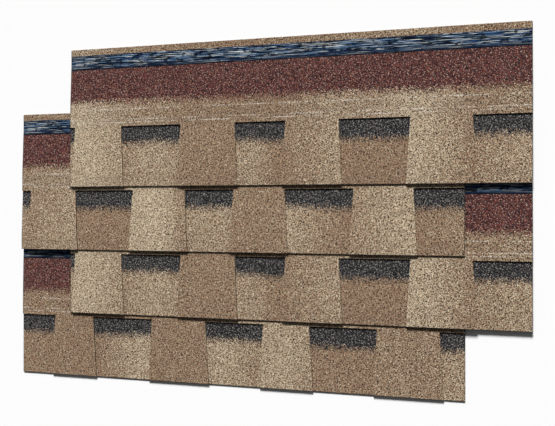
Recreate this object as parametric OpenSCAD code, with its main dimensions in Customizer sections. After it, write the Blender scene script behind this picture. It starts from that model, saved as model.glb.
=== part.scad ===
// Laminated asphalt shingles in four lapped courses.
// Every shingle is two plies of granule-covered asphalt felt: a plain backing ply
// and, laminated onto it, a taller ply whose lower half is notched into teeth.
// A release tape runs along its top edge, and dashes of sealant along its back.
// The shingles lie flat. Each course covers the headlap of the one before it and
// is stepped sideways, so each ply bends down past the edges that it covers.
// X runs along the courses, Y up the lap and Z up from the floor. The origin is
// the middle of the footprint, on the floor.

/* [Shingle] */
// Length of one shingle, along the course
shingle_length = 1000; // [900:5:1100]
// Height of one shingle, from its lower edge to its top edge
shingle_height = 310; // [295:1:350]
// Thickness of one ply with its granules
ply_thickness = 2.5; // [1.8:0.1:3.2]
// Height by which the backing ply reaches past the notch tops
backing_lap = 42; // [20:1:45]
// Radius of the two upper corners, worn a little round by the cutter
corner_radius = 3; // [1:0.5:5]

/* [Courses] */
// Height of a course that the next course leaves bare
exposure = 142; // [136:1:150]
// Sideways step between neighbouring courses
side_step = 126; // [0:1:250]
// Length over which a ply bends down past a covered edge
drape_length = 105; // [60:1:115]

/* [Teeth] */
// Height of the notches above the lower edge
notch_height = 134; // [110:1:135]
// How far each notch side leans inwards on its way down
notch_lean = 8; // [0:1:12]
// Teeth on the first half of the cutting roll, measured at the notch tops
roll_teeth_a = [115, 124, 113, 121]; // [60:1:160]
// The notch that follows each of those teeth
roll_notches_a = [144, 113, 146, 124]; // [60:1:160]
// Teeth on the second half of the cutting roll
roll_teeth_b = [97, 126, 100, 124]; // [60:1:160]
// The notch that follows each of those teeth
roll_notches_b = [145, 131, 142, 135]; // [60:1:160]
// Where on the roll the left end of each course was cut, first course first
roll_places = [914, 1987, 1976, 1987]; // [0:1:2000]

/* [Release tape] */
// Bare strip between the top edge and the tape
tape_margin = 14; // [5:1:30]
// Height of the tape
tape_height = 33; // [15:1:45]
// Thickness of the tape, which is pressed in flush with the granules
tape_thickness = 0.3; // [0.2:0.1:0.6]

/* [Sealant] */
// Length of one dash of sealant on the back
dash_length = 38; // [20:1:60]
// Gap between two dashes
dash_gap = 14; // [8:1:40]
// Height of a dash, across the shingle
dash_height = 12; // [6:1:14]
// Thickness of a dash, which is pressed in flush with the back
dash_thickness = 0.5; // [0.3:0.1:0.8]

/* [Hidden] */

courses = 4;
backing_height = notch_height + backing_lap;
total_height = (courses - 1) * exposure + shingle_height;
// No ply lies higher than all the plies piled on each other
pile_height = 2 * courses * ply_thickness;
// Room by which a cutting shape passes the surface that it opens
cut_room = 1;

function sum(list, i = 0) = i < len(list) ? list[i] + sum(list, i + 1) : 0;

// Courses 1 and 3 lie to the left, courses 2 and 4 to the right
function course_x(n) = (n % 2 == 0 ? 1 : -1) * side_step / 2 - shingle_length / 2;
function course_y(n) = (n - 1) * exposure;

// Plies are counted in laying order: 0 is the backing of course 1, 1 its toothed ply
function backing_of(n) = 2 * n - 2;
function toothed_of(n) = 2 * n - 1;
function ply_course(k) = floor(k / 2) + 1;
function ply_start(k) = course_y(ply_course(k));
function ply_end(k) = ply_start(k) + (k % 2 == 0 ? backing_height : shingle_height);

// A covered ply lifts whatever lies over it by its thickness, up to its top edge,
// and past that edge the lift fades out in a straight line
function lift(past) = past <= 0 ? 1 : max(0, 1 - past / drape_length);
function underside(k, y) =
    ply_thickness * sum([for (j = [0:1:k - 1]) lift(y - ply_end(j))]);

// Heights along Y where the underside of ply k starts or stops sloping
function sorted(list) = len(list) < 2 ? list : concat(
    sorted([for (v = list) if (v < list[0]) v]),
    [list[0]],
    sorted([for (v = list) if (v > list[0]) v]));
function bends(k, from, to) = sorted(concat(
    [from, to],
    [for (j = [0:1:k - 1]) for (y = [ply_end(j), ply_end(j) + drape_length])
        if (y > from && y < to) y]));

// The roll cuts tooth, notch, tooth, notch and so on, and then starts over
teeth = concat(roll_teeth_a, roll_teeth_b);
gaps = concat(roll_notches_a, roll_notches_b);
roll_length = sum(teeth) + sum(gaps);
function roll_notch_start(i) = sum([for (j = [0:1:i]) teeth[j]]) + sum([for (j = [0:1:i - 1]) gaps[j]]);

// The notches that fall on course n, as [start, end] from the left end of the shingle
function course_notches(n) = [
    for (turn = [-1, 0, 1]) for (i = [0:len(gaps) - 1])
        let (start = roll_notch_start(i) + turn * roll_length - roll_places[n - 1])
            if (start < shingle_length && start + gaps[i] > 0) [start, start + gaps[i]]];

// Whole dashes fill the length, in line with the middle of a tape on a shingle packed head to foot
dash_pitch = dash_length + dash_gap;
dash_count = floor((shingle_length - dash_gap) / dash_pitch);
dash_start = (shingle_length - dash_count * dash_pitch + dash_gap) / 2;
dash_middle = tape_margin + tape_height / 2;

// A piece of ply k between two heights, low to high above the ply's underside
module draped_strip(k, from, to, low, high, start = 0, length = shingle_length) {
    heights = bends(k, from, to);
    below = [for (y = heights) [y, underside(k, y) + low]];
    above = [for (i = [len(heights) - 1:-1:0]) [heights[i], underside(k, heights[i]) + high]];
    translate([course_x(ply_course(k)) + start, -total_height / 2, 0])
        rotate([90, 0, 90])
            linear_extrude(length)
                polygon(concat(below, above));
}

// One notch, open at the lower edge and wider at its top. A side past the shingle's end doesn't lean
module notch(start, end) {
    inset = notch_lean * (1 + cut_room / notch_height);
    left = start > 0 ? inset : 0;
    right = end < shingle_length ? inset : 0;
    translate([0, 0, -cut_room])
        linear_extrude(pile_height + 2 * cut_room)
            polygon([
                [start + left, -cut_room],
                [end - right, -cut_room],
                [end, notch_height],
                [start, notch_height]
            ]);
}

// What is cut away at the two upper corners of a shingle
module corner_cuts() {
    reach = corner_radius + cut_room;
    translate([0, 0, -cut_room])
        linear_extrude(pile_height + 2 * cut_room)
            for (side = [0, 1])
                translate([side * shingle_length, shingle_height])
                    mirror([side, 0])
                        difference() {
                            translate([-cut_room, -corner_radius])
                                square(reach);
                            translate([corner_radius, -corner_radius])
                                circle(corner_radius, $fn = 48);
                        }
}

// The tape's place on the face of a toothed ply, up to high above the ply's underside
module tape_place(n, high) {
    top = ply_end(toothed_of(n)) - tape_margin;
    draped_strip(toothed_of(n), top - tape_height, top, ply_thickness - tape_thickness, high);
}

// The dashes' places on the back of a backing ply, from low above the ply's underside
module dash_places(n, low) {
    k = backing_of(n);
    middle = ply_start(k) + dash_middle;
    for (i = [0:dash_count - 1])
        draped_strip(k, middle - dash_height / 2, middle + dash_height / 2, low, dash_thickness,
            dash_start + i * dash_pitch, dash_length);
}

module backing_ply(n) {
    k = backing_of(n);
    color("tan")
        difference() {
            draped_strip(k, ply_start(k), ply_end(k), 0, ply_thickness);
            dash_places(n, -cut_room);
        }
}

module toothed_ply(n) {
    k = toothed_of(n);
    color("burlywood")
        difference() {
            draped_strip(k, ply_start(k), ply_end(k), 0, ply_thickness);
            translate([course_x(n), course_y(n) - total_height / 2, 0]) {
                for (cut = course_notches(n))
                    notch(cut[0], cut[1]);
                corner_cuts();
            }
            tape_place(n, ply_thickness + cut_room);
        }
}

module release_tape(n) {
    color("steelblue")
        tape_place(n, ply_thickness);
}

module sealant(n) {
    color("black")
        dash_places(n, 0);
}

for (n = [1:courses]) {
    backing_ply(n);
    toothed_ply(n);
    release_tape(n);
    sealant(n);
}
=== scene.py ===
import math

import bmesh
import bpy
import numpy
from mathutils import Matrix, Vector, noise


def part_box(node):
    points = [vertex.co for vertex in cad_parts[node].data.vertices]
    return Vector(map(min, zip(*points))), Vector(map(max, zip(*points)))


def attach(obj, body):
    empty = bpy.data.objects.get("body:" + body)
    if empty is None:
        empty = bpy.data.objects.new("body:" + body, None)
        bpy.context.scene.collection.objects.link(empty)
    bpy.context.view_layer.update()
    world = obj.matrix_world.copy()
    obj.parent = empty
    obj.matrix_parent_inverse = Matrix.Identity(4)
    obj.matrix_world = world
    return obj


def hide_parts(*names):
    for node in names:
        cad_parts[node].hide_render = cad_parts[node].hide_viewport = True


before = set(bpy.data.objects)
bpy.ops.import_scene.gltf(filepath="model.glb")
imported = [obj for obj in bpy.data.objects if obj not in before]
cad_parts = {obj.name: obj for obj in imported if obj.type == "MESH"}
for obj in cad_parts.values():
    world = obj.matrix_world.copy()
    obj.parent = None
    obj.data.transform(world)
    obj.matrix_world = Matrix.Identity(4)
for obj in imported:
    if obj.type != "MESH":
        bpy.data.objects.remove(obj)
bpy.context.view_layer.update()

# Backing plies
# Each shingle starts as a plain strip of felt soaked in asphalt, with crushed stone pressed
# into its face and sand on its back. Charcoal stone along its upper half shows through the
# notches of the ply that is laminated onto it, like a painted shadow.
courses = (1, 2, 3, 4)
first_low, first_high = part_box("shingle_1_toothed_ply")
shingle_length = first_high[0] - first_low[0]
millimetre = 0.001
stone_size = 1.4 * millimetre
stone_relief = 0.7 * millimetre
spot_spacing = 4.0 * millimetre
# A rim of asphalt colour along the face's ends and lower edge: bare edge, and partly painted edge shade
bare_rim_and_edge_shade = 0.8 * millimetre
fibres_per_metre = 900
sand_grains_per_metre = 1300
waves_per_metre = 7
face_slope = 0.5
asphalt = (0.022, 0.019, 0.017)
charcoal_edge = 92 * millimetre
charcoal_rise = 9 * millimetre
selvage_edge = 285 * millimetre


def fill(tree, node, inputs):
    """Sets each named input of a node to a value, or links it to a socket."""
    for name, value in inputs.items():
        if isinstance(value, bpy.types.NodeSocket):
            tree.links.new(value, node.inputs[name])
        else:
            node.inputs[name].default_value = value


def add_node(tree, kind, inputs=None, **settings):
    """A new node with its settings and inputs."""
    node = tree.nodes.new(kind)
    for name, value in settings.items():
        setattr(node, name, value)
    fill(tree, node, inputs or {})
    return node


def reckon(tree, operation, first, second=0.0, third=0.0):
    """The result of one sum on values."""
    node = add_node(tree, "ShaderNodeMath", {0: first, 1: second, 2: third}, operation=operation)
    return node.outputs[0]


def mix_colours(tree, share, first, second):
    """The first colour, with a share of the second one over it."""
    node = add_node(tree, "ShaderNodeMix", {0: share, 6: first, 7: second}, data_type="RGBA")
    return node.outputs[2]


def set_stops(ramp, stops, interpolation):
    """Puts (place, colour) stops on a colour ramp, in rising order."""
    elements = ramp.color_ramp.elements
    elements.remove(elements[1])
    ramp.color_ramp.interpolation = interpolation
    for number, (place, colour) in enumerate(stops):
        stop = elements[0] if number == 0 else elements.new(place)
        stop.position = place
        stop.color = (*colour, 1)


def new_group(name, inputs, outputs):
    """An empty shader group with named sockets, and the nodes for what goes in and comes out."""
    tree = bpy.data.node_groups.new(name, "ShaderNodeTree")
    kinds = {"value": "NodeSocketFloat", "colour": "NodeSocketColor", "vector": "NodeSocketVector"}
    for socket, kind in inputs.items():
        tree.interface.new_socket(socket, in_out="INPUT", socket_type=kinds[kind])
    for socket, kind in outputs.items():
        tree.interface.new_socket(socket, in_out="OUTPUT", socket_type=kinds[kind])
    return tree, tree.nodes.new("NodeGroupInput"), tree.nodes.new("NodeGroupOutput")


def stone_coat_group():
    """A packed coat of stones: where each stone lies, its random draws and its rounded height."""
    tree, given, result = new_group(
        "stone_coat",
        {"Place": "vector", "Stone size": "value"},
        {"Along": "value", "Up": "value", "Pick": "value",
         "Share": "value", "Shade": "value", "Height": "value"})
    cells = add_node(tree, "ShaderNodeTexVoronoi", {
        "Vector": given.outputs["Place"],
        "Scale": reckon(tree, "DIVIDE", 1.0, given.outputs["Stone size"])})
    home = add_node(tree, "ShaderNodeSeparateXYZ", {0: cells.outputs["Position"]})
    draws = add_node(tree, "ShaderNodeSeparateColor", {0: cells.outputs["Color"]})
    fill(tree, result, {
        "Along": home.outputs["X"],
        "Up": home.outputs["Y"],
        "Pick": draws.outputs["Red"],
        "Share": draws.outputs["Green"],
        "Shade": draws.outputs["Blue"],
        "Height": reckon(tree, "SUBTRACT", 1.0, cells.outputs["Distance"])})
    return tree


def even_spots_group():
    """Spots spread evenly over a coat: how far each stone lies from the nearest, in spot spacings."""
    tree, given, result = new_group(
        "even_spots", {"Along": "value", "Up": "value", "Spacing": "value"}, {"Off": "value"})
    home = add_node(tree, "ShaderNodeCombineXYZ", {"X": given.outputs["Along"], "Y": given.outputs["Up"]})
    spots = add_node(tree, "ShaderNodeTexVoronoi", {
        "Vector": home.outputs[0], "Randomness": 1.0,
        "Scale": reckon(tree, "DIVIDE", 1.0, given.outputs["Spacing"])}, voronoi_dimensions="2D")
    fill(tree, result, {"Off": spots.outputs["Distance"]})
    return tree


def stone_blend_group(name, spot, stones):
    """One blend: spots of one stone, and the others by their shares, each a little lighter or darker."""
    tree, given, result = new_group(
        name, {"Along": "value", "Up": "value", "Pick": "value", "Shade": "value"}, {"Colour": "colour"})
    ramp = add_node(tree, "ShaderNodeValToRGB", {0: given.outputs["Pick"]})
    stops = []
    place = 0.0
    for share, colour in stones:
        stops.append((place, colour))
        place += share
    set_stops(ramp, stops, "CONSTANT")
    spot_share, spot_colour = spot
    off = add_node(tree, "ShaderNodeGroup", {
        "Along": given.outputs["Along"], "Up": given.outputs["Up"],
        "Spacing": spot_spacing}, node_tree=even_spots)
    is_spot = reckon(tree, "LESS_THAN", off.outputs[0], math.sqrt(spot_share / math.pi))
    colour = mix_colours(tree, is_spot, ramp.outputs["Color"], (*spot_colour, 1))
    dullest, brightest = 0.7, 1.3
    level = reckon(tree, "MULTIPLY_ADD", given.outputs["Shade"], brightest - dullest, dullest)
    shaded = add_node(tree, "ShaderNodeVectorMath", {0: colour, "Scale": level}, operation="SCALE")
    fill(tree, result, {"Colour": shaded.outputs["Vector"]})
    return tree


def ragged_edge_group():
    """The wavering, grain by grain edge of a band of stone: one above it and nought below."""
    tree, given, result = new_group(
        "ragged_edge",
        {"Along": "value", "Up": "value", "Pick": "value",
         "Edge": "value", "Fray": "value", "Waver": "value"},
        {"Above": "value"})
    waves = add_node(tree, "ShaderNodeTexNoise", {
        "W": given.outputs["Along"], "Scale": waves_per_metre, "Detail": 3.0}, noise_dimensions="1D")
    swing = reckon(tree, "MULTIPLY_ADD", waves.outputs[0], 2.0, -1.0)
    stray_draw = reckon(tree, "FRACT", reckon(tree, "MULTIPLY", given.outputs["Pick"], 91.7))
    stray = reckon(tree, "MULTIPLY_ADD", stray_draw, 2.0, -1.0)
    edge = reckon(tree, "MULTIPLY_ADD", swing, given.outputs["Waver"], given.outputs["Edge"])
    edge = reckon(tree, "MULTIPLY_ADD", stray, given.outputs["Fray"], edge)
    fill(tree, result, {"Above": reckon(tree, "GREATER_THAN", given.outputs["Up"], edge)})
    return tree


def felt_faces_group():
    """Stone on the face of a ply, with a dark asphalt rim along its ends and lower edge that is partly
    painted edge shade, bare asphalt on its cut sides and sand on its back.
    """
    tree, given, result = new_group(
        "felt_faces",
        {"Place": "vector", "Length": "value", "Rim": "value",
         "Stone": "colour", "Stone height": "value"},
        {"Colour": "colour", "Height": "value"})
    facing = add_node(tree, "ShaderNodeNewGeometry").outputs["True Normal"]
    upward = add_node(tree, "ShaderNodeSeparateXYZ", {0: facing}).outputs["Z"]
    face = reckon(tree, "GREATER_THAN", upward, face_slope)
    back = reckon(tree, "LESS_THAN", upward, -face_slope)
    fibres = add_node(tree, "ShaderNodeTexNoise", {
        "Vector": given.outputs["Place"], "Scale": fibres_per_metre, "Detail": 3.0})
    side = add_node(tree, "ShaderNodeValToRGB", {0: fibres.outputs[0]})
    set_stops(side, [
        (0.35, (0.035, 0.030, 0.026)),
        (0.50, (0.110, 0.085, 0.064)),
        (0.62, (0.26, 0.195, 0.135))], "LINEAR")
    sand = add_node(tree, "ShaderNodeTexVoronoi", {
        "Vector": given.outputs["Place"], "Scale": sand_grains_per_metre})
    sand_draw = add_node(tree, "ShaderNodeSeparateColor", {0: sand.outputs["Color"]}).outputs["Red"]
    sanded = add_node(tree, "ShaderNodeValToRGB", {0: sand_draw})
    set_stops(sanded, [
        (0.0, (0.022, 0.021, 0.020)),
        (0.55, (0.05, 0.047, 0.043)),
        (0.9, (0.17, 0.155, 0.135))], "CONSTANT")
    bare = mix_colours(tree, back, side.outputs["Color"], sanded.outputs["Color"])
    spot = add_node(tree, "ShaderNodeSeparateXYZ", {0: given.outputs["Place"]}).outputs
    from_right = reckon(tree, "SUBTRACT", given.outputs["Length"], spot["X"])
    from_end = reckon(tree, "MINIMUM", spot["X"], from_right)
    from_edge = reckon(tree, "MINIMUM", from_end, spot["Y"])
    # Within the rim the face takes asphalt colour, standing for the bare edge and for painted edge shade
    inside = reckon(tree, "GREATER_THAN", from_edge, given.outputs["Rim"])
    coated = mix_colours(tree, inside, (*asphalt, 1), given.outputs["Stone"])
    colour = mix_colours(tree, face, bare, coated)
    rough = reckon(tree, "MULTIPLY", reckon(tree, "SUBTRACT", 1.0, face), fibres.outputs[0])
    height = reckon(tree, "MULTIPLY_ADD", given.outputs["Stone height"], face, rough)
    fill(tree, result, {"Colour": colour, "Height": height})
    return tree


stone_coat = stone_coat_group()
even_spots = even_spots_group()
ragged_edge = ragged_edge_group()
felt_faces = felt_faces_group()
umber_stone = (0.026, 0.021, 0.018)
brown_stone = (0.238, 0.136, 0.081)
tan_stone = (0.360, 0.262, 0.174)
cream_stone = (0.650, 0.548, 0.390)
light_blend = stone_blend_group(
    "light_blend", (0.15, umber_stone), [(0.06, brown_stone), (0.36, tan_stone), (0.58, cream_stone)])
brown_blend = stone_blend_group(
    "brown_blend", (0.19, umber_stone), [(0.46, brown_stone), (0.51, tan_stone), (0.03, cream_stone)])
charcoal_blend = stone_blend_group(
    "charcoal_blend", (0.11, (0.280, 0.262, 0.240)),
    [(0.58, (0.010, 0.010, 0.012)), (0.30, (0.048, 0.045, 0.046)), (0.12, (0.110, 0.100, 0.095))])


def course_place(tree, vector, course):
    """A place measured from the lower left corner of a course."""
    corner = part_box(f"shingle_{course}_toothed_ply")[0]
    return add_node(tree, "ShaderNodeMapping", {
        "Vector": vector, "Location": (-corner[0], -corner[1], 0)}).outputs["Vector"]


def coat_draws(tree, course):
    """The stones of the flat coat of one course."""
    place = course_place(tree, add_node(tree, "ShaderNodeTexCoord").outputs["Object"], course)
    coat = add_node(tree, "ShaderNodeGroup", {
        "Place": place, "Stone size": stone_size}, node_tree=stone_coat)
    return place, {socket.name: socket for socket in coat.outputs}


def edge_mask(tree, stones, edge, fray, waver):
    """One on the stones above an edge, which is measured up from the lower edge of the shingle."""
    return add_node(tree, "ShaderNodeGroup", {
        "Along": stones["Along"], "Up": stones["Up"], "Pick": stones["Pick"],
        "Edge": edge, "Fray": fray, "Waver": waver}, node_tree=ragged_edge).outputs[0]


def light_share(tree, stones, stops):
    """The share of light stones along a ply, halved on the strip above the tape."""
    along = reckon(tree, "DIVIDE", stones["Along"], shingle_length)
    drops = add_node(tree, "ShaderNodeValToRGB", {0: along})
    set_stops(drops, [(place * millimetre, (share,) * 3) for place, share in stops], "LINEAR")
    above_tape = edge_mask(tree, stones, selvage_edge, fray=0.005, waver=0.002)
    change = reckon(tree, "MULTIPLY_ADD", above_tape, -0.5, 1)
    return reckon(tree, "MULTIPLY", drops.outputs["Color"], change)


def blend_colour(tree, stones, blend):
    """The colour of each stone in one blend."""
    return add_node(tree, "ShaderNodeGroup", {
        name: stones[name] for name in ("Along", "Up", "Pick", "Shade")}, node_tree=blend).outputs[0]


def tan_stones(tree, stones, share):
    """Light and brown blends, mixed stone by stone."""
    is_light = reckon(tree, "LESS_THAN", stones["Share"], share)
    brown = blend_colour(tree, stones, brown_blend)
    light = blend_colour(tree, stones, light_blend)
    return mix_colours(tree, is_light, brown, light)


def backing_stones(tree, stones, course):
    """Tan drops below, and above them a charcoal band, which reaches lower on the brown drops."""
    share = light_share(tree, stones, backing_light[course])
    band_edge = reckon(tree, "MULTIPLY_ADD", share, charcoal_rise, charcoal_edge)
    band = edge_mask(tree, stones, band_edge, fray=0.009, waver=0.003)
    drops = tan_stones(tree, stones, share)
    return mix_colours(tree, band, drops, blend_colour(tree, stones, charcoal_blend))


def ply_coat(name, course, stone_colours):
    """The material of a whole ply, from its stone face to its sanded back."""
    paint = bpy.data.materials.new(f"{name}_{course}")
    paint.use_nodes = True
    tree = paint.node_tree
    place, stones = coat_draws(tree, course)
    faces = add_node(tree, "ShaderNodeGroup", {
        "Place": place, "Length": shingle_length, "Rim": bare_rim_and_edge_shade,
        "Stone": stone_colours(tree, stones, course),
        "Stone height": stones["Height"]}, node_tree=felt_faces)
    bump = add_node(tree, "ShaderNodeBump", {
        "Height": faces.outputs["Height"], "Strength": 0.6, "Distance": stone_relief})
    fill(tree, tree.nodes["Principled BSDF"], {
        "Base Color": faces.outputs["Colour"], "Normal": bump.outputs["Normal"],
        "Roughness": 0.9, "Specular IOR Level": 0.1})
    return paint


# Share of light stones at places along each backing ply, in millimetres from its left end
backing_light = {
    1: [(0, 0.1), (190, 0), (290, 0.7), (455, 0.5), (495, 0.7), (580, 0.25), (690, 0.05),
        (820, 0.05), (1000, 0.5)],
    2: [(0, 0.4), (135, 0.3), (210, 0.6), (270, 0.35), (440, 0.45), (490, 0), (770, 0),
        (900, 0.25), (1000, 0.45)],
    3: [(0, 0.3), (130, 0.05), (285, 0.05), (410, 0.4), (500, 0.45), (640, 0.63), (760, 0),
        (920, 0), (1000, 0.15)],
}
backing_light[4] = backing_light[2]

for course in courses:
    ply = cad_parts[f"shingle_{course}_backing_ply"]
    ply.data.materials.clear()
    ply.data.materials.append(ply_coat("backing_coat", course, backing_stones))

# Toothed plies
# The upper ply is twice as tall, and its lower half is cut into teeth, so that drops of
# light and brown stone stand out from the ply behind. Maroon stone covers the part that
# the next course hides, with chalky lines to nail along below it.
maroon_blend = stone_blend_group(
    "maroon_blend", (0.08, (0.450, 0.300, 0.240)),
    [(0.36, (0.012, 0.008, 0.010)), (0.27, (0.090, 0.033, 0.028)), (0.27, (0.200, 0.065, 0.049)),
     (0.10, (0.095, 0.068, 0.080))])
maroon_edge = 187 * millimetre
maroon_top = 280 * millimetre
chalk_lines = (172 * millimetre, 149 * millimetre, 142.5 * millimetre)
chalk_half_width = 1 * millimetre
chalk_runs_per_metre = 14
chalk_cover = 0.85
chalk = (0.75, 0.70, 0.62)


def chalk_line_group():
    """A broken chalk line along the shingle: one on the stones that took the chalk."""
    tree, given, result = new_group(
        "chalk_line",
        {"Along": "value", "Up": "value", "Pick": "value", "Line": "value", "Half width": "value"},
        {"Chalk": "value"})
    off = reckon(tree, "ABSOLUTE", reckon(tree, "SUBTRACT", given.outputs["Up"], given.outputs["Line"]))
    on_line = reckon(tree, "LESS_THAN", off, given.outputs["Half width"])
    start = reckon(tree, "MULTIPLY", given.outputs["Line"], 77.0)
    runs = add_node(tree, "ShaderNodeTexNoise", {
        "W": reckon(tree, "ADD", given.outputs["Along"], start),
        "Scale": chalk_runs_per_metre, "Detail": 4.0}, noise_dimensions="1D")
    draw = reckon(tree, "FRACT", reckon(tree, "MULTIPLY", given.outputs["Pick"], 57.3))
    took = reckon(tree, "LESS_THAN", draw, reckon(tree, "MULTIPLY_ADD", runs.outputs[0], 1.8, -0.60))
    fill(tree, result, {"Chalk": reckon(tree, "MULTIPLY", on_line, took)})
    return tree


chalk_line = chalk_line_group()


def toothed_stones(tree, stones, course):
    """Tan drops on the teeth, a maroon band under the tape and chalk lines between them."""
    share = light_share(tree, stones, toothed_light[course])
    colour = tan_stones(tree, stones, share)
    for line in chalk_lines:
        chalked = add_node(tree, "ShaderNodeGroup", {
            "Along": stones["Along"], "Up": stones["Up"], "Pick": stones["Pick"], "Line": line,
            "Half width": chalk_half_width}, node_tree=chalk_line).outputs[0]
        colour = mix_colours(tree, reckon(tree, "MULTIPLY", chalked, chalk_cover), colour, (*chalk, 1))
    above_low = edge_mask(tree, stones, maroon_edge, fray=0.010, waver=0.006)
    above_high = edge_mask(tree, stones, maroon_top, fray=0.001, waver=0)
    band = reckon(tree, "MULTIPLY", above_low, reckon(tree, "SUBTRACT", 1.0, above_high))
    return mix_colours(tree, band, colour, blend_colour(tree, stones, maroon_blend))


# Share of light stones at places along each toothed ply, in millimetres from its left end
toothed_light = {
    1: [(0, 0.1), (180, 0.05), (330, 0.05), (450, 0.1), (580, 0.6), (640, 0.75), (690, 0.4),
        (820, 0.2), (1000, 0.15)],
    2: [(0, 1), (60, 0.85), (125, 0.48), (265, 0.1), (500, 0.05), (620, 0.5), (690, 0.4),
        (765, 0.85), (830, 0.55), (890, 0.1), (1000, 0.3)],
    3: [(0, 0.2), (140, 0.47), (280, 0.85), (330, 1), (370, 0.75), (405, 0.2), (520, 0.1),
        (635, 0.1), (780, 0.3), (890, 0.75), (1000, 0.5)],
}
toothed_light[4] = toothed_light[2]

for course in courses:
    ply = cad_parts[f"shingle_{course}_toothed_ply"]
    ply.data.materials.clear()
    ply.data.materials.append(ply_coat("toothed_coat", course, toothed_stones))

# Release tapes
# A thin film of clear plastic over dark blue runs along the top of each shingle, so that
# the sealant of the next one in the pack doesn't stick to it. It is pressed into the hot
# asphalt and wrinkles lengthwise as it cools. The glint on its wrinkles is painted sheen:
# pale and white streaks in the film's colour.
film_columns = 400
film_rows = 12
film_thickness = 0.05 * millimetre
wrinkle_depth = 0.25 * millimetre
broad_wrinkles = (16, 260)
fine_wrinkles = (55, 620)
probe_room = 0.1 * millimetre
probe_rise = 10 * millimetre
navy = (0.005, 0.012, 0.032)
steel = (0.014, 0.048, 0.130)
# pale and white are the tints of the painted sheen on the film's wrinkles
pale = (0.15, 0.240, 0.365)
white = (0.80, 0.84, 0.82)
black = (0.001, 0.002, 0.005)
border_navy = (0.008, 0.014, 0.030)
# Layers of streaks, lowest first, the pale and white ones painted sheen on the wrinkles:
# density along and across, where one starts and is full, cover, tint
film_streaks_and_sheen = (
    ((9, 4), 0.45, 0.58, 1, steel),
    ((24, 19), 0.47, 0.50, 1, black),
    ((14, 19), 0.560, 0.580, 1, pale),
    ((16, 23), 0.590, 0.605, 1, white),
    ((60, 3), 0.56, 0.62, 0.85, black))
# Share of plain navy from the film's lower edge to its upper edge
film_border = ((0, 0.95), (0.2, 0.5), (0.38, 0), (0.86, 0), (1, 0.6))


def tape_film(course):
    """The wrinkled film of one course, never higher than the flat tape that it stands for."""
    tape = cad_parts[f"shingle_{course}_release_tape"]
    low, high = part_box(tape.name)
    mesh = bpy.data.meshes.new(f"tape_film_{course}")
    corners = []
    runs = []
    for row in range(film_rows + 1):
        across = row / film_rows
        y = low[1] + (high[1] - low[1]) * across
        probe_y = min(max(y, low[1] + probe_room), high[1] - probe_room)
        probe = Vector(((low[0] + high[0]) / 2, probe_y, high[2] + probe_rise))
        top = tape.ray_cast(probe, Vector((0, 0, -1)))[1][2]
        for column in range(film_columns + 1):
            x = low[0] + (high[0] - low[0]) * column / film_columns
            broad = noise.noise(Vector((x * broad_wrinkles[0], y * broad_wrinkles[1], course * 3.1)))
            fine = noise.noise(Vector((x * fine_wrinkles[0], y * fine_wrinkles[1], course * 7.7)))
            sunk = min(max(0.5 + 0.55 * broad + 0.3 * fine, 0), 1)
            corners.append((x, y, top - wrinkle_depth * sunk))
            runs.append((x - low[0], across))
    width = film_columns + 1
    faces = []
    for row in range(film_rows):
        for column in range(film_columns):
            start = row * width + column
            faces.append((start, start + 1, start + width + 1, start + width))
    mesh.from_pydata(corners, [], faces)
    run = mesh.uv_layers.new(name="film_run")
    for loop in mesh.loops:
        run.data[loop.index].uv = runs[loop.vertex_index]
    mesh.shade_smooth()
    film = bpy.data.objects.new(f"tape_film_{course}", mesh)
    bpy.context.scene.collection.objects.link(film)
    wall = film.modifiers.new("wall", "SOLIDIFY")
    wall.thickness = film_thickness
    wall.offset = -1
    return film


def film_paint():
    """Streaks along the film, one layer over another, the pale and white ones painted sheen, and plain
    navy along its two edges.
    """
    paint = bpy.data.materials.new("release_film")
    paint.use_nodes = True
    tree = paint.node_tree
    run = add_node(tree, "ShaderNodeUVMap", uv_map="film_run").outputs[0]
    colour = (*navy, 1)
    # The pale and white layers paint the film's sheen into its colour
    for number, (stretch, start, stop, most, tint) in enumerate(film_streaks_and_sheen):
        stretched = add_node(tree, "ShaderNodeMapping", {
            "Vector": run, "Location": (number * 9.3, number * 5.1, 0), "Scale": (*stretch, 1)})
        streaks = add_node(tree, "ShaderNodeTexNoise", {
            "Vector": stretched.outputs[0], "Scale": 1.0, "Detail": 3.0, "Roughness": 0.6})
        share = add_node(tree, "ShaderNodeMapRange", {0: streaks.outputs[0], 1: start, 2: stop, 4: most})
        colour = mix_colours(tree, share.outputs[0], colour, (*tint, 1))
    across = add_node(tree, "ShaderNodeSeparateXYZ", {0: run}).outputs["Y"]
    border = add_node(tree, "ShaderNodeValToRGB", {0: across})
    set_stops(border, [(place, (share,) * 3) for place, share in film_border], "LINEAR")
    fill(tree, tree.nodes["Principled BSDF"], {
        "Base Color": mix_colours(tree, border.outputs["Color"], colour, (*border_navy, 1)),
        "Roughness": 0.72, "Specular IOR Level": 0.04})
    return paint


release_film = film_paint()
for course in courses:
    film = tape_film(course)
    film.data.materials.append(release_film)
    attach(film, "root")
    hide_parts(f"shingle_{course}_release_tape")

# Sealant
# Dashes of soft black asphalt on the back of each shingle glue it to the course below
# once the sun has warmed the roof. They are rolled on hot, flush with the back.
peel_per_metre = 420
dust_per_metre = 60
peel_relief = 0.4 * millimetre


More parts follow.
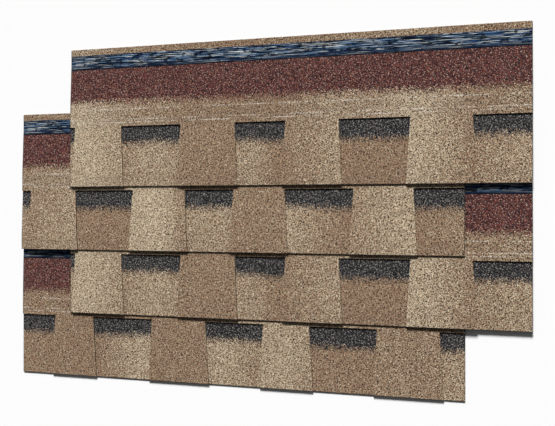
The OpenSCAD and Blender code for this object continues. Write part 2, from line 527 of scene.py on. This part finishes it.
def sealant_paint():
    """Glossy black asphalt with a rolled, slightly orange-peeled face."""
    paint = bpy.data.materials.new("sealant_dash")
    paint.use_nodes = True
    tree = paint.node_tree
    place = add_node(tree, "ShaderNodeTexCoord").outputs["Object"]
    peel = add_node(tree, "ShaderNodeTexNoise", {"Vector": place, "Scale": peel_per_metre, "Detail": 2.0})
    dust = add_node(tree, "ShaderNodeTexNoise", {"Vector": place, "Scale": dust_per_metre, "Detail": 5.0})
    tint = add_node(tree, "ShaderNodeValToRGB", {0: dust.outputs[0]})
    set_stops(tint, [(0.45, (0.009, 0.008, 0.008)), (0.75, (0.030, 0.026, 0.022))], "LINEAR")
    bump = add_node(tree, "ShaderNodeBump", {
        "Height": peel.outputs[0], "Strength": 0.5, "Distance": peel_relief})
    fill(tree, tree.nodes["Principled BSDF"], {
        "Base Color": tint.outputs["Color"],
        "Roughness": reckon(tree, "MULTIPLY_ADD", dust.outputs[0], 0.5, 0.12),
        "Normal": bump.outputs["Normal"]})
    return paint


sealant_dash = sealant_paint()
for course in courses:
    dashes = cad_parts[f"shingle_{course}_sealant"]
    dashes.data.materials.clear()
    dashes.data.materials.append(sealant_dash)

# Proud stones
# Crushed stone doesn't sink in evenly: on every face that shows, the larger grains stand
# proud of the asphalt. They lie at random, close to each other, and none under a later ply.
stone_spacing = 1.35 * millimetre
stones_per_square_metre = 157000
smallest_radius = 0.65 * millimetre
largest_radius = 1.25 * millimetre
stone_flatness = (1, 1, 0.6)
proud_rim = 1.2 * millimetre
most_tilt = 0.5
cover_reach = 50 * millimetre
merge_distance = 0.001 * millimetre


def proud_stones_tree():
    """Scatters small crushed stones on the upward faces of a ply that nothing covers."""
    tree = bpy.data.node_groups.new("proud_stones", "GeometryNodeTree")
    tree.is_modifier = True
    for name, kind in (("Geometry", "NodeSocketGeometry"), ("Cover", "NodeSocketObject"),
                       ("Spacing", "NodeSocketFloat"), ("Density", "NodeSocketFloat"),
                       ("Smallest", "NodeSocketFloat"), ("Largest", "NodeSocketFloat"),
                       ("Rim", "NodeSocketFloat"), ("Seed", "NodeSocketInt"),
                       ("Finish", "NodeSocketMaterial")):
        tree.interface.new_socket(name, in_out="INPUT", socket_type=kind)
    tree.interface.new_socket("Geometry", in_out="OUTPUT", socket_type="NodeSocketGeometry")
    given = tree.nodes.new("NodeGroupInput")
    result = tree.nodes.new("NodeGroupOutput")
    upward = add_node(tree, "ShaderNodeSeparateXYZ", {
        0: add_node(tree, "GeometryNodeInputNormal").outputs[0]}).outputs["Z"]
    spread = add_node(tree, "GeometryNodeDistributePointsOnFaces", distribute_method="POISSON")
    fill(tree, spread, {
        "Mesh": given.outputs["Geometry"], "Selection": reckon(tree, "GREATER_THAN", upward, face_slope),
        "Distance Min": given.outputs["Spacing"], "Density Max": given.outputs["Density"],
        "Seed": given.outputs["Seed"]})
    place = add_node(tree, "GeometryNodeInputPosition").outputs[0]
    below = add_node(tree, "ShaderNodeVectorMath", {0: place, 1: (0, 0, -millimetre)}, operation="ADD")
    cover = add_node(tree, "GeometryNodeObjectInfo", {"Object": given.outputs["Cover"]})
    cast = add_node(tree, "GeometryNodeRaycast", {
        "Target Geometry": cover.outputs["Geometry"], "Source Position": below.outputs[0],
        "Ray Direction": (0, 0, 1), "Ray Length": cover_reach})
    box = add_node(tree, "GeometryNodeBoundBox", {0: given.outputs["Geometry"]})
    spot = add_node(tree, "ShaderNodeSeparateXYZ", {0: place}).outputs
    low = add_node(tree, "ShaderNodeSeparateXYZ", {0: box.outputs["Min"]}).outputs
    high = add_node(tree, "ShaderNodeSeparateXYZ", {0: box.outputs["Max"]}).outputs
    inside = reckon(tree, "MINIMUM", reckon(tree, "SUBTRACT", spot["X"], low["X"]),
                    reckon(tree, "SUBTRACT", high["X"], spot["X"]))
    inside = reckon(tree, "MINIMUM", inside, reckon(tree, "SUBTRACT", spot["Y"], low["Y"]))
    on_rim = reckon(tree, "LESS_THAN", inside, given.outputs["Rim"])
    bare = add_node(tree, "GeometryNodeDeleteGeometry", {
        "Geometry": spread.outputs["Points"],
        "Selection": reckon(tree, "MAXIMUM", cast.outputs["Is Hit"], on_rim)})
    homed = add_node(tree, "GeometryNodeStoreNamedAttribute", {
        "Geometry": bare.outputs[0], "Name": "stone_home", "Value": place}, data_type="FLOAT_VECTOR")
    draws = add_node(tree, "FunctionNodeRandomValue", {
        "Seed": given.outputs["Seed"]}, data_type="FLOAT_VECTOR")
    drawn = add_node(tree, "GeometryNodeStoreNamedAttribute", {
        "Geometry": homed.outputs[0], "Name": "stone_draws",
        "Value": draws.outputs[0]}, data_type="FLOAT_VECTOR")
    tilt = add_node(tree, "FunctionNodeRandomValue", {
        0: (-most_tilt, -most_tilt, 0), 1: (most_tilt, most_tilt, math.tau),
        "Seed": given.outputs["Seed"]}, data_type="FLOAT_VECTOR")
    turn = add_node(tree, "FunctionNodeEulerToRotation", {0: tilt.outputs[0]})
    radius = add_node(tree, "FunctionNodeRandomValue", {
        2: given.outputs["Smallest"], 3: given.outputs["Largest"],
        "Seed": given.outputs["Seed"]}, data_type="FLOAT")
    size = add_node(tree, "ShaderNodeVectorMath", {
        0: stone_flatness, "Scale": radius.outputs[1]}, operation="SCALE")
    stone = add_node(tree, "GeometryNodeMeshUVSphere", {"Segments": 3, "Rings": 2, "Radius": 1.0})
    laid = add_node(tree, "GeometryNodeInstanceOnPoints", {
        "Points": drawn.outputs[0], "Instance": stone.outputs["Mesh"], "Rotation": turn.outputs[0],
        "Scale": size.outputs[0]})
    real = add_node(tree, "GeometryNodeRealizeInstances", {0: laid.outputs[0]})
    smooth = add_node(tree, "GeometryNodeSetShadeSmooth", {0: real.outputs[0]})
    finished = add_node(tree, "GeometryNodeSetMaterial", {
        "Geometry": smooth.outputs[0], "Material": given.outputs["Finish"]})
    fill(tree, result, {0: finished.outputs[0]})
    return tree


def merged_copy(name, nodes):
    """An object with the meshes of some CAD nodes, each merged into closed shells."""
    shell = bmesh.new()
    for node in nodes:
        shell.from_mesh(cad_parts[node].data)
    bmesh.ops.remove_doubles(shell, verts=shell.verts, dist=merge_distance)
    mesh = bpy.data.meshes.new(name)
    shell.to_mesh(mesh)
    shell.free()
    mesh.materials.clear()
    copy = bpy.data.objects.new(name, mesh)
    bpy.context.scene.collection.objects.link(copy)
    return copy


def proud_finish(name, course, stone_colours):
    """The same stones as the coat, each with one colour."""
    paint = bpy.data.materials.new(f"{name}_{course}")
    paint.use_nodes = True
    tree = paint.node_tree
    home = add_node(tree, "ShaderNodeAttribute", attribute_name="stone_home").outputs["Vector"]
    home = add_node(tree, "ShaderNodeSeparateXYZ", {0: course_place(tree, home, course)})
    draws = add_node(tree, "ShaderNodeAttribute", attribute_name="stone_draws").outputs["Vector"]
    draws = add_node(tree, "ShaderNodeSeparateXYZ", {0: draws})
    stones = {"Along": home.outputs["X"], "Up": home.outputs["Y"], "Pick": draws.outputs["X"],
              "Share": draws.outputs["Y"], "Shade": draws.outputs["Z"]}
    fill(tree, tree.nodes["Principled BSDF"], {
        "Base Color": stone_colours(tree, stones, course),
        "Roughness": 0.85, "Specular IOR Level": 0.12})
    return paint


def proud_stones(kind, course, stone_colours, covers):
    """The stones that stand proud of one ply, as one mesh with a flat map for its colours."""
    ply = merged_copy(f"proud_{kind}_bed", [f"shingle_{course}_{kind}_ply"])
    cover = merged_copy(f"proud_{kind}_cover", covers)
    scatter = ply.modifiers.new("scatter", "NODES")
    scatter.node_group = scatter_tree
    values = {"Cover": cover, "Spacing": stone_spacing, "Density": stones_per_square_metre,
              "Smallest": smallest_radius, "Largest": largest_radius, "Rim": proud_rim, "Seed": course,
              "Finish": proud_finish(f"proud_{kind}", course, stone_colours)}
    for item in scatter_tree.interface.items_tree:
        if item.in_out == "INPUT" and item.name in values:
            scatter[item.identifier] = values[item.name]
    graph = bpy.context.evaluated_depsgraph_get()
    mesh = bpy.data.meshes.new_from_object(ply.evaluated_get(graph), depsgraph=graph)
    mesh.name = f"proud_stones_{kind}_{course}"
    stones = bpy.data.objects.new(mesh.name, mesh)
    bpy.context.scene.collection.objects.link(stones)
    bpy.data.objects.remove(ply)
    bpy.data.objects.remove(cover)
    low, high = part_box(f"shingle_{course}_{kind}_ply")
    places = numpy.zeros(len(mesh.vertices) * 3)
    mesh.vertices.foreach_get("co", places)
    corners = numpy.zeros(len(mesh.loops), dtype=numpy.int32)
    mesh.loops.foreach_get("vertex_index", corners)
    flat = places.reshape(-1, 3)[corners, :2]
    margin = 2 * millimetre
    flat = (flat - numpy.array(low[:2]) + margin) / (numpy.array((high - low)[:2]) + 2 * margin)
    for layer in list(mesh.uv_layers):
        mesh.uv_layers.remove(layer)
    mesh.uv_layers.new(name="OFBake").data.foreach_set("uv", flat.ravel())
    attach(stones, "root")


scatter_tree = proud_stones_tree()
for course in courses:
    later = [f"shingle_{other}_{kind}_ply" for other in courses if other > course
             for kind in ("backing", "toothed")]
    proud_stones("backing", course, backing_stones, [f"shingle_{course}_toothed_ply"] + later)
    proud_stones("toothed", course, toothed_stones, [f"shingle_{course}_release_tape"] + later)

# Floor, light and camera
# The set lies on a pale studio floor, under one broad lamp beyond its top edge and an even
# white sky. The camera looks down from over its right end.
floor_width = 12.0
sky_level = 0.08
sky_slope = 0.07
key_energy = 5.38
key_spread = math.radians(14)
key_direction = Vector((0.046, -0.851, -0.5225))


def straight_sight(tree):
    """One where the camera sees a surface straight or by way of gloss or glass."""
    path = add_node(tree, "ShaderNodeLightPath").outputs
    mirrored = reckon(tree, "MAXIMUM", path["Is Glossy Ray"], path["Is Transmission Ray"])
    return reckon(tree, "MAXIMUM", mirrored, path["Is Camera Ray"])


half = floor_width / 2
floor_mesh = bpy.data.meshes.new("floor")
floor_corners = [(-half, -half, 0), (half, -half, 0), (half, half, 0), (-half, half, 0)]
floor_mesh.from_pydata(floor_corners, [], [(0, 1, 2, 3)])
floor = bpy.data.objects.new("floor", floor_mesh)
bpy.context.scene.collection.objects.link(floor)
floor_paint = bpy.data.materials.new("floor_paint")
floor_paint.use_nodes = True
tree = floor_paint.node_tree
fill(tree, tree.nodes["Principled BSDF"], {
    "Base Color": mix_colours(tree, straight_sight(tree), (0.8, 0.8, 0.8, 1), (1, 1, 1, 1)),
    "Roughness": 0.9, "Specular IOR Level": 0.1})
floor_mesh.materials.append(floor_paint)

sky = bpy.data.worlds.new("sky")
sky.use_nodes = True
tree = sky.node_tree
look = add_node(tree, "ShaderNodeTexCoord").outputs["Generated"]
beyond = add_node(tree, "ShaderNodeSeparateXYZ", {0: look}).outputs["Y"]
low_fill = reckon(tree, "MULTIPLY_ADD", beyond, sky_slope, sky_level)
fill(tree, tree.nodes["Background"], {
    "Color": (1, 1, 1, 1),
    "Strength": reckon(tree, "MAXIMUM", straight_sight(tree), low_fill)})
bpy.context.scene.world = sky

key = bpy.data.lights.new("key", "SUN")
key.energy = key_energy
key.angle = key_spread
key_object = bpy.data.objects.new("key", key)
key_object.rotation_euler = key_direction.to_track_quat("-Z", "Y").to_euler()
bpy.context.scene.collection.objects.link(key_object)

picture_width = 555
focal_pixels = 813.2
principal_row_shift = -4.72
camera_place = (0.558, 0.0097, 1.628)
camera_lean = math.radians(17.25)
camera = bpy.data.cameras.new("camera")
camera.sensor_width = 36
camera.lens = camera.sensor_width * focal_pixels / picture_width
camera.shift_y = principal_row_shift / picture_width
camera_object = bpy.data.objects.new("camera", camera)
camera_object.location = camera_place
camera_object.rotation_euler = (0, camera_lean, 0)
bpy.context.scene.collection.objects.link(camera_object)
bpy.context.scene.camera = camera_object
bpy.context.scene.view_settings.view_transform = "Standard"
